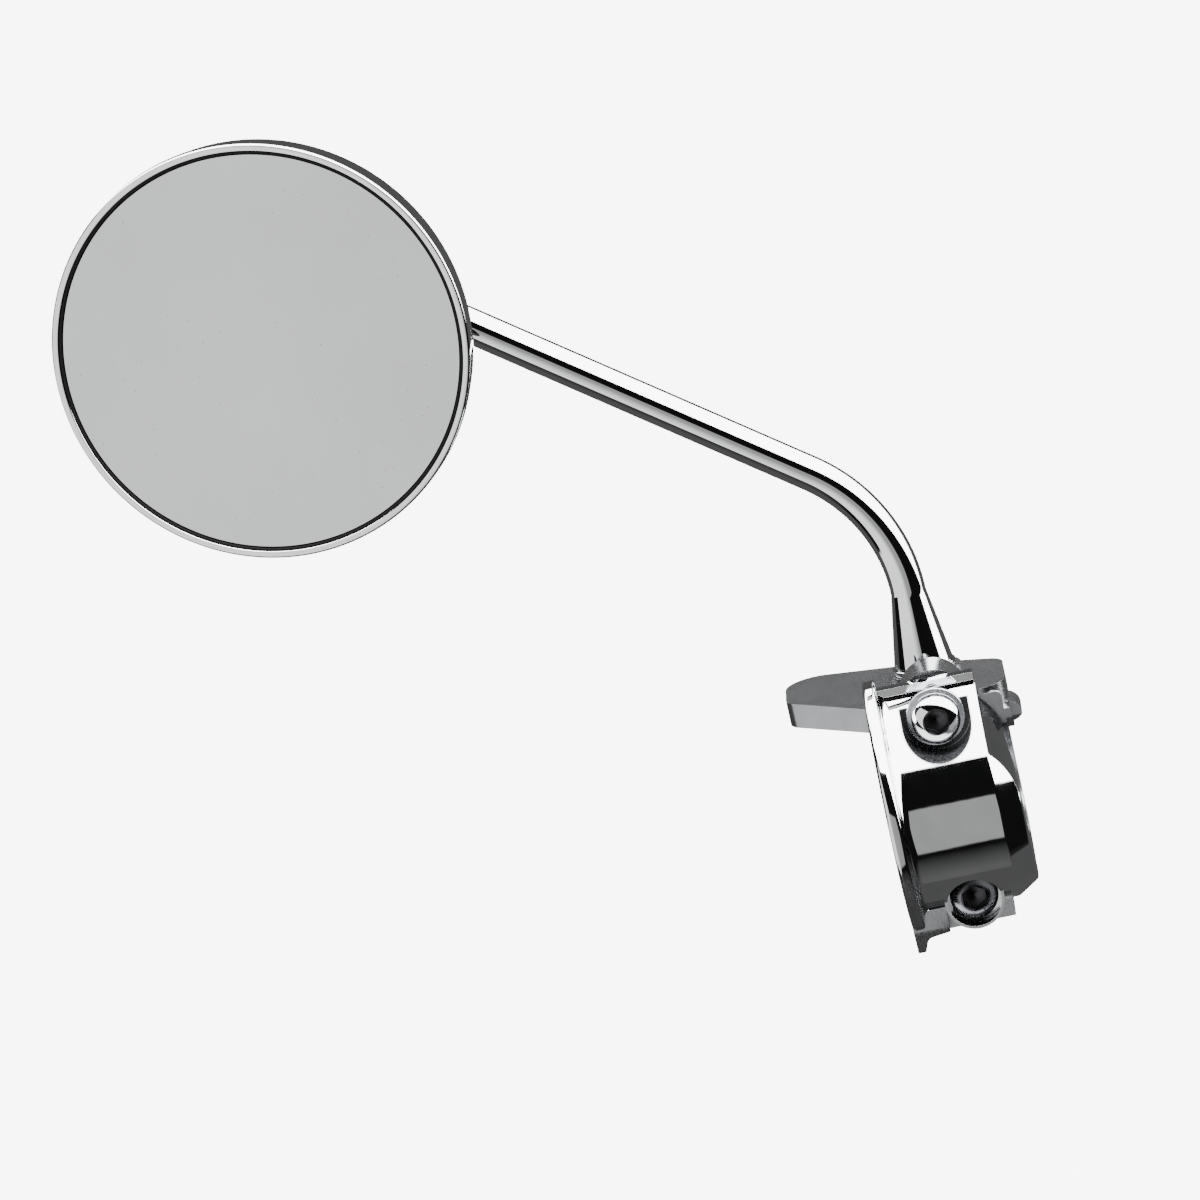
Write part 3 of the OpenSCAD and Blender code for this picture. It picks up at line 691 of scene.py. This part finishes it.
def wholeStem():
    eye = placed(ring(joint["neck"] + 0.01, joint["eye"], joint["eyeThick"], 0.7, 96),
                 alongStud @ Matrix.Translation((0, 0, eyeFace)))
    rod = joined(stemRod(), [
        placed(disc(joint["eye"] + 0.3, 5), alongStud @ Matrix.Translation((0, 0, eyeFace - 5))),
        placed(disc(joint["eye"] + 0.3, 5), alongStud @ Matrix.Translation((0, 0, eyeBack))),
        placed(disc(joint["neck"] + 1, 12), alongStud @ Matrix.Translation((0, 0, eyeFace - 3)))],
        "DIFFERENCE")
    return joined(rod, [eye], "UNION")


finished(wholeStem(), "stemRod", polishedChrome, "stem_arm", ["stem"], 30)
print("stem made")

# Foot fasteners

foot = {"stud": 4, "washer": 7, "flat": 1.4, "lock": 1.8, "nutAcross": 12, "nutTall": 12}


def atStud(z):
    return Matrix.Translation((studPlace.x, studPlace.y, z))


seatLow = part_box("foot_seat_washer")[0][2] / mm
finished(placed(ring(foot["stud"] + 0.01, foot["washer"], seatHeight - seatLow), atStud(seatLow)),
         "footSeatWasher", polishedChrome, "stem_arm", ["foot_seat_washer"])
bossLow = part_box("foot_flat_washer")[1][2] / mm
finished(placed(ring(foot["stud"] + 0.01, foot["washer"], foot["flat"]), atStud(bossLow - foot["flat"])),
         "footFlatWasher", zincSteel, "stem_arm", ["foot_flat_washer"])
nutTop = bossLow - foot["flat"] - foot["lock"]
finished(moved(splitRing(foot["stud"] + 0.01, foot["stud"] + 2.6, foot["lock"]), atStud(nutTop)),
         "footLockWasher", zincSteel, "stem_arm", ["foot_lock_washer"], 35)
footNut = domeNut(foot["nutAcross"], foot["nutTall"], foot["stud"] + 0.01, 8.2)
finished(moved(footNut, atStud(nutTop) @ Matrix.Rotation(math.pi, 4, "X")),
         "footCapNut", fastenerChrome, "stem_arm", ["foot_cap_nut"])
print("foot made")

# Clamp

clamp = {"bar": 12.7, "gap": 1, "wide": 29, "face": 25, "faceWide": 19.2, "flange": 28.6,
         "flangeThick": 2.9, "screw": 20.3, "rear": 20, "pocket": 7.5, "seat": 9.5,
         "lip": 26.7, "lipThick": 2.2, "rise": 1.3, "plate": 5.5, "steps": 120}
c = clamp
leftSide, rightSide = -c["wide"] / 2, c["wide"] / 2
bigger = 60
towardsRider = Matrix.Rotation(math.radians(90), 4, "X")      # +Z of a shape turns to -Y


def screwAxis(z, y=0):
    return Matrix.Translation((0, -y, z)) @ towardsRider


def backwards(x, y, z):
    # +Z of a shape turns to +Y, away from the rider
    return Matrix.Translation((x, y, z)) @ Matrix.Rotation(math.radians(-90), 4, "X")


def barCylinder(radius, fromX, length):
    return placed(disc(radius, length, 240), Matrix.Translation((fromX, 0, 0))
                  @ Matrix.Rotation(math.radians(90), 4, "Y"))


def halfTurn(outline):
    # Spins an outline of (radius, place along the bar) about the bar's axis
    return placed(lathe(outline, 2 * c["steps"]), Matrix.Rotation(math.radians(-90), 4, "Z"))


def clampFront():
    cove = rightSide - c["flangeThick"] - c["faceWide"] / 2
    faceLeft, faceRight = -c["faceWide"] / 2, c["faceWide"] / 2
    outline = roundedOutline([
        (c["bar"], leftSide, 0.5), (c["flange"], leftSide, 0.9),
        (c["flange"], leftSide + c["flangeThick"], 0.9), (c["face"], leftSide + c["flangeThick"], cove),
        (c["face"], faceRight, 0.8), (c["face"] - 3, rightSide, 0.9), (c["bar"], rightSide, 0.5)], 15)
    body = joined(halfTurn(outline), [block((-bigger, -bigger, -bigger), (bigger, -c["gap"], bigger))],
                  "INTERSECT")
    lip = barCylinder(c["lip"], leftSide + c["flangeThick"] - 0.01, c["faceWide"] + 1.9)
    lip = asMesh(joined(lip, [block((-bigger, -c["gap"] - c["lipThick"], 0), (bigger, -c["gap"], bigger))],
                        "INTERSECT"))
    pad = block((leftSide + c["flangeThick"] - 0.01, -10.5, -27), (8, -c["gap"], -c["screw"] / 2))
    boss = placed(disc(6.5, 14.6, 96), screwAxis(-c["screw"], 1))
    # the flange's tail, as an outline from the side met with an outline from the front
    side = placed(prism(roundedOutline([
        (-1, -26.6), (-4, -29.9, 1.5), (-7.5, -31.6, 2.5), (-11, -31.2, 2), (-14, -25.6), (-14, -21),
        (-1, -21)]), 8), Matrix.Translation((leftSide + 0.01, 0, 0))
        @ Matrix.Rotation(math.radians(90), 4, "Z") @ Matrix.Rotation(math.radians(90), 4, "X"))
    front = placed(prism(roundedOutline([
        (leftSide, -21), (leftSide, -31.8, 0.6), (leftSide + 1.5, -31.8, 0.6),
        (leftSide + 2.9, -27.6, 1.6), (leftSide + 7.9, -26.9), (leftSide + 7.9, -21)]), 50), towardsRider)
    tail = asMesh(joined(side, [front], "INTERSECT"))
    body = joined(body, [lip, pad, boss, tail], "UNION")
    bore = barCylinder(c["bar"], -40, 80)
    holes = [placed(disc(3.25, 50), screwAxis(z)) for z in (-c["screw"], c["screw"])]
    radius = c["pocket"]
    arc = [(radius * math.cos(a), radius * math.sin(a))
           for a in [math.pi + math.pi * k / 48 for k in range(49)]]
    pocket = placed(prism(arc + [(radius, 30), (-radius, 30)], 50), screwAxis(c["screw"], c["seat"]))
    counterbore = placed(disc(5.9, 50, 96), screwAxis(-c["screw"], c["seat"]))
    corner = [(16 * math.cos(a) - 1.5, 7 + 16 * math.sin(a))
              for a in [math.pi / 2 * k / 32 for k in range(33)]]
    corner = [p for p in corner if p[0] > 9.6] + [(9.6, 18.6), (9.6, 60), (40, 60), (40, 7)]
    upperCut = placed(placed(prism(corner, 100), Matrix.Translation((0, 0, -50))),
                      Matrix.Rotation(math.radians(107), 4, "X"))
    lowerCut = placed(prism([(10.1, -25.4), (10.1, -40), (40, -40), (40, 4.6 - 25.4), (14.5, -20.4)], 60),
                      towardsRider)
    body = joined(body, [bore, pocket, counterbore, upperCut, lowerCut] + holes, "DIFFERENCE")
    return softened(tidied(body), 0.45)


finished(clampFront(), "clampFront", castChrome, "root", ["clamp_front"])
print("clamp front made")


def clampRear():
    outline = roundedOutline([(c["bar"], leftSide), (c["rear"], leftSide, 1.2),
                              (c["rear"], rightSide, 1.2), (c["bar"], rightSide)], 15)
    body = joined(halfTurn(outline), [block((-bigger, c["gap"], -bigger), (bigger, bigger, bigger))],
                  "INTERSECT")
    plate = bmesh.new()
    plateTop = studPlace.z - c["rise"]
    for x, y, radius in ((leftSide - 11, studPlace.y + 10, 7), (leftSide - 12, studPlace.y + 1.5, 6),
                         (leftSide + 3, 7, 5), (rightSide - 4.5, 7, 6),
                         (rightSide - 4, studPlace.y - 3, 5.5), (studPlace.x, studPlace.y, 8.5)):
        for z in (plateTop - c["plate"], plateTop):
            bmesh.ops.create_circle(plate, segments=64, radius=radius, matrix=Matrix.Translation((x, y, z)))
    hull = bmesh.ops.convex_hull(plate, input=plate.verts)
    bmesh.ops.delete(plate, geom=list(set(hull["geom_interior"] + hull["geom_unused"])), context="VERTS")
    stray = [e for e in plate.edges if not e.link_faces]
    bmesh.ops.delete(plate, geom=stray, context="EDGES")
    boss = placed(disc(8, 14, 96), atStud(bossLow))
    web = block((studPlace.x - 8, 12.7, bossLow + 1), (studPlace.x + 8, studPlace.y, studPlace.z - 2.75))
    screwBosses = [placed(disc(7.4, 10.5, 96), backwards(0, 1, z)) for z in (-c["screw"], c["screw"])]
    lowWeb = block((-7.4, 1, -c["screw"]), (7.4, 11.5, 8 - c["screw"]))
    shoulder = block((11.5, 1, 9), (15.9, 14, plateTop - c["plate"] + 0.01))
    lug = placed(disc(3, 9), backwards(rightSide + 0.7, 4, 13.5))
    body = joined(body, [plate, boss, web, lowWeb, shoulder, lug] + screwBosses, "UNION")
    bore = barCylinder(c["bar"], -40, 80)
    relief = barCylinder(c["bar"] + 1, rightSide, 40)
    front = block((-bigger, -bigger, -bigger), (bigger, c["gap"], bigger))
    flat = block((-bigger, studPlace.y - foot["washer"] - 0.3, -bigger), (bigger, bigger, bossLow))
    threads = [placed(disc(3, 12.1), backwards(0, 0, z)) for z in (-c["screw"], c["screw"])]
    body = joined(body, [bore, relief, front, flat, placed(disc(4.05, 60), atStud(-10))] + threads,
                  "DIFFERENCE")
    return softened(tidied(body), 0.5)


finished(clampRear(), "clampRear", satinCast, "root", ["clamp_rear"])
print("clamp rear made")

screw = {"thread": 3, "long": 21, "head": 5.3, "tall": 5, "across": 5}


def roundScrew():
    # Domed head with a hexagon socket that ends in a drilled cone
    s = screw
    parts = 16
    low = s["tall"] * 0.45
    dome = [(s["head"] * math.cos(a), low + (s["tall"] - low) * math.sin(a))
            for a in [math.pi / 2 * k / parts for k in range(parts)]]
    outline = [(0, -s["long"]), (s["thread"] - 0.5, -s["long"]), (s["thread"], -s["long"] + 0.5),
               (s["thread"], 0), (s["head"] - 0.3, 0), (s["head"], 0.3)] + dome + [(0, s["tall"])]
    body = placed(lathe(outline, 96, closed=False), Matrix.Rotation(math.radians(90), 4, "X"))
    cut = disc(s["across"] / 2 / math.cos(math.radians(30)), 6, 6)
    placed(cut, Matrix.Translation((0, 0, s["tall"] * 0.35)))
    drill = bmesh.new()
    bmesh.ops.create_cone(drill, cap_ends=True, segments=64, radius1=0.05, radius2=2.5, depth=1.0,
                          matrix=Matrix.Translation((0, 0, s["tall"] * 0.35 - 0.45)))
    piece = joined(body, [cut, drill], "DIFFERENCE")
    return softened(tidied(piece), 0.15, angle=30, segments=2)


upperScrew = roundScrew()
lowerScrew = upperScrew.copy()
lowerScrew.data = upperScrew.data.copy()
bpy.context.scene.collection.objects.link(lowerScrew)
finished(moved(upperScrew, screwAxis(c["screw"], c["seat"] + 1.2)), "clampScrewUpper", screwChrome,
         "root", ["clamp_screw_upper"])
finished(moved(lowerScrew, screwAxis(-c["screw"], c["seat"])), "clampScrewLower", shadedScrewChrome,
         "root", ["clamp_screw_lower"])
finished(placed(ring(3.25, 6.4, 1.2, 0.25), screwAxis(c["screw"], c["seat"])), "clampWasher",
         zincSteel, "root", ["clamp_washer"])
print("clamp made")

# CAD pieces that stay: hidden inside the head or under the foot

kept = {"foot_stud": zincSteel, "ball_liner": linerNylon, "socket_retainer": zincSteel,
        "socket_screws": zincSteel, "backing_plate": zincSteel, "backing_pad": padFoam}
for node, material in kept.items():
    mesh = frame["nodes"][node].data
    mesh.materials.clear()
    mesh.materials.append(material)

# Floor, light and camera

studio = {"floorDrop": 0.6, "floorSize": 30, "white": 12.0, "black": 0.008, "behind": 0.1,
          "table": 0.14, "card": (0.45, 1.6), "soft": 0.012}


def floor():
    shape = bmesh.new()
    bmesh.ops.create_grid(shape, x_segments=1, y_segments=1, size=studio["floorSize"] / 2,
                          matrix=Matrix.Translation((0, 0, -studio["floorDrop"])))
    mesh = bpy.data.meshes.new("floor")
    shape.to_mesh(mesh)
    shape.free()
    ground = bpy.data.objects.new("floor", mesh)
    bpy.context.scene.collection.objects.link(ground)
    material, tree, place = newMaterial("paleFloor")
    colour = grain(tree, place, 40, 2.0, ("#fafafa", "#fcfcfc"), (0.9, 0.9))[1]
    shader = addNode(tree, "BsdfPrincipled", {"Base Color": colour, "Roughness": 0.9})
    addNode(tree, "OutputMaterial", {"Surface": shader})
    mesh.materials.append(material)
    ground.visible_glossy = False


floor()


def studioSky():
    # What the chrome sees: a white tent above that leans to the right, a dark gap below it, a
    # pale card low on the left, and a dim room behind. Each edge is a plane through the sphere
    # of directions, given by its normal and how far it stands from the centre.
    world = bpy.data.worlds.new("studio")
    bpy.context.scene.world = world
    world.use_nodes = True
    tree = world.node_tree
    tree.nodes.clear()
    way = addNode(tree, "TexCoord").outputs["Generated"]

    def across(normal, low, high, atLow=0.0, atHigh=1.0):
        height = addNode(tree, "VectorMath", {0: way, 1: normal}, operation="DOT_PRODUCT").outputs["Value"]
        return addNode(tree, "MapRange", {0: height, 1: low, 2: high, 3: atLow, 4: atHigh})

    def beyond(normal, edge):
        return across(normal, edge - studio["soft"], edge + studio["soft"])

    card = across((-1, 0, 0), 0.05, 0.4, *studio["card"])
    wing = addNode(tree, "Math", {0: beyond((-1, 0, 0), 0.5), 1: beyond((0, 0, -1), 0.14)},
                   operation="MULTIPLY")
    wing = addNode(tree, "Math", {0: wing, 1: beyond((0, 0, 1), -0.5)}, operation="MULTIPLY")
    light = across((0, 0, -1), 0.7, 0.95, studio["black"], studio["table"])
    for zone, value in ((beyond((-0.484, -0.874, 0.056), 0.643), card), (wing, card),
                        (beyond((0.64, 0, 0.77), 0.061), studio["black"]),
                        (beyond((0.419, 0.389, 0.82), 0.29), studio["white"]),
                        (beyond((0, 0.846, -0.533), 0.337), studio["behind"])):
        light = addNode(tree, "Mix", {0: zone, 2: light, 3: value})
    seen = addNode(tree, "LightPath").outputs["Is Camera Ray"]
    lit = addNode(tree, "Background", {"Color": linearColour("#ffffff"), "Strength": light})
    plain = addNode(tree, "Background", {"Color": linearColour("#ffffff"), "Strength": studio["white"]})
    mix = addNode(tree, "MixShader", {0: seen, 1: lit, 2: plain})
    addNode(tree, "OutputWorld", {"Surface": mix})


studioSky()

view = {"aim": (-0.0665, 0.0093, 0.056), "distance": 1.7, "azimuth": 4, "elevation": 14,
        "roll": -12.8, "lens": 234.6}


def camera():
    turn, rise = math.radians(view["azimuth"]), math.radians(view["elevation"])
    back = Vector((math.sin(turn) * math.cos(rise), -math.cos(turn) * math.cos(rise), math.sin(rise)))
    data = bpy.data.cameras.new("camera")
    data.lens = view["lens"]
    data.clip_start, data.clip_end = 0.05, 50
    seer = bpy.data.objects.new("camera", data)
    seer.rotation_mode = "QUATERNION"
    seer.location = Vector(view["aim"]) + back * view["distance"]
    seer.rotation_quaternion = (-back).to_track_quat("-Z", "Y") @ Quaternion(
        (0, 0, 1), math.radians(view["roll"]))
    bpy.context.scene.collection.objects.link(seer)
    bpy.context.scene.camera = seer


camera()
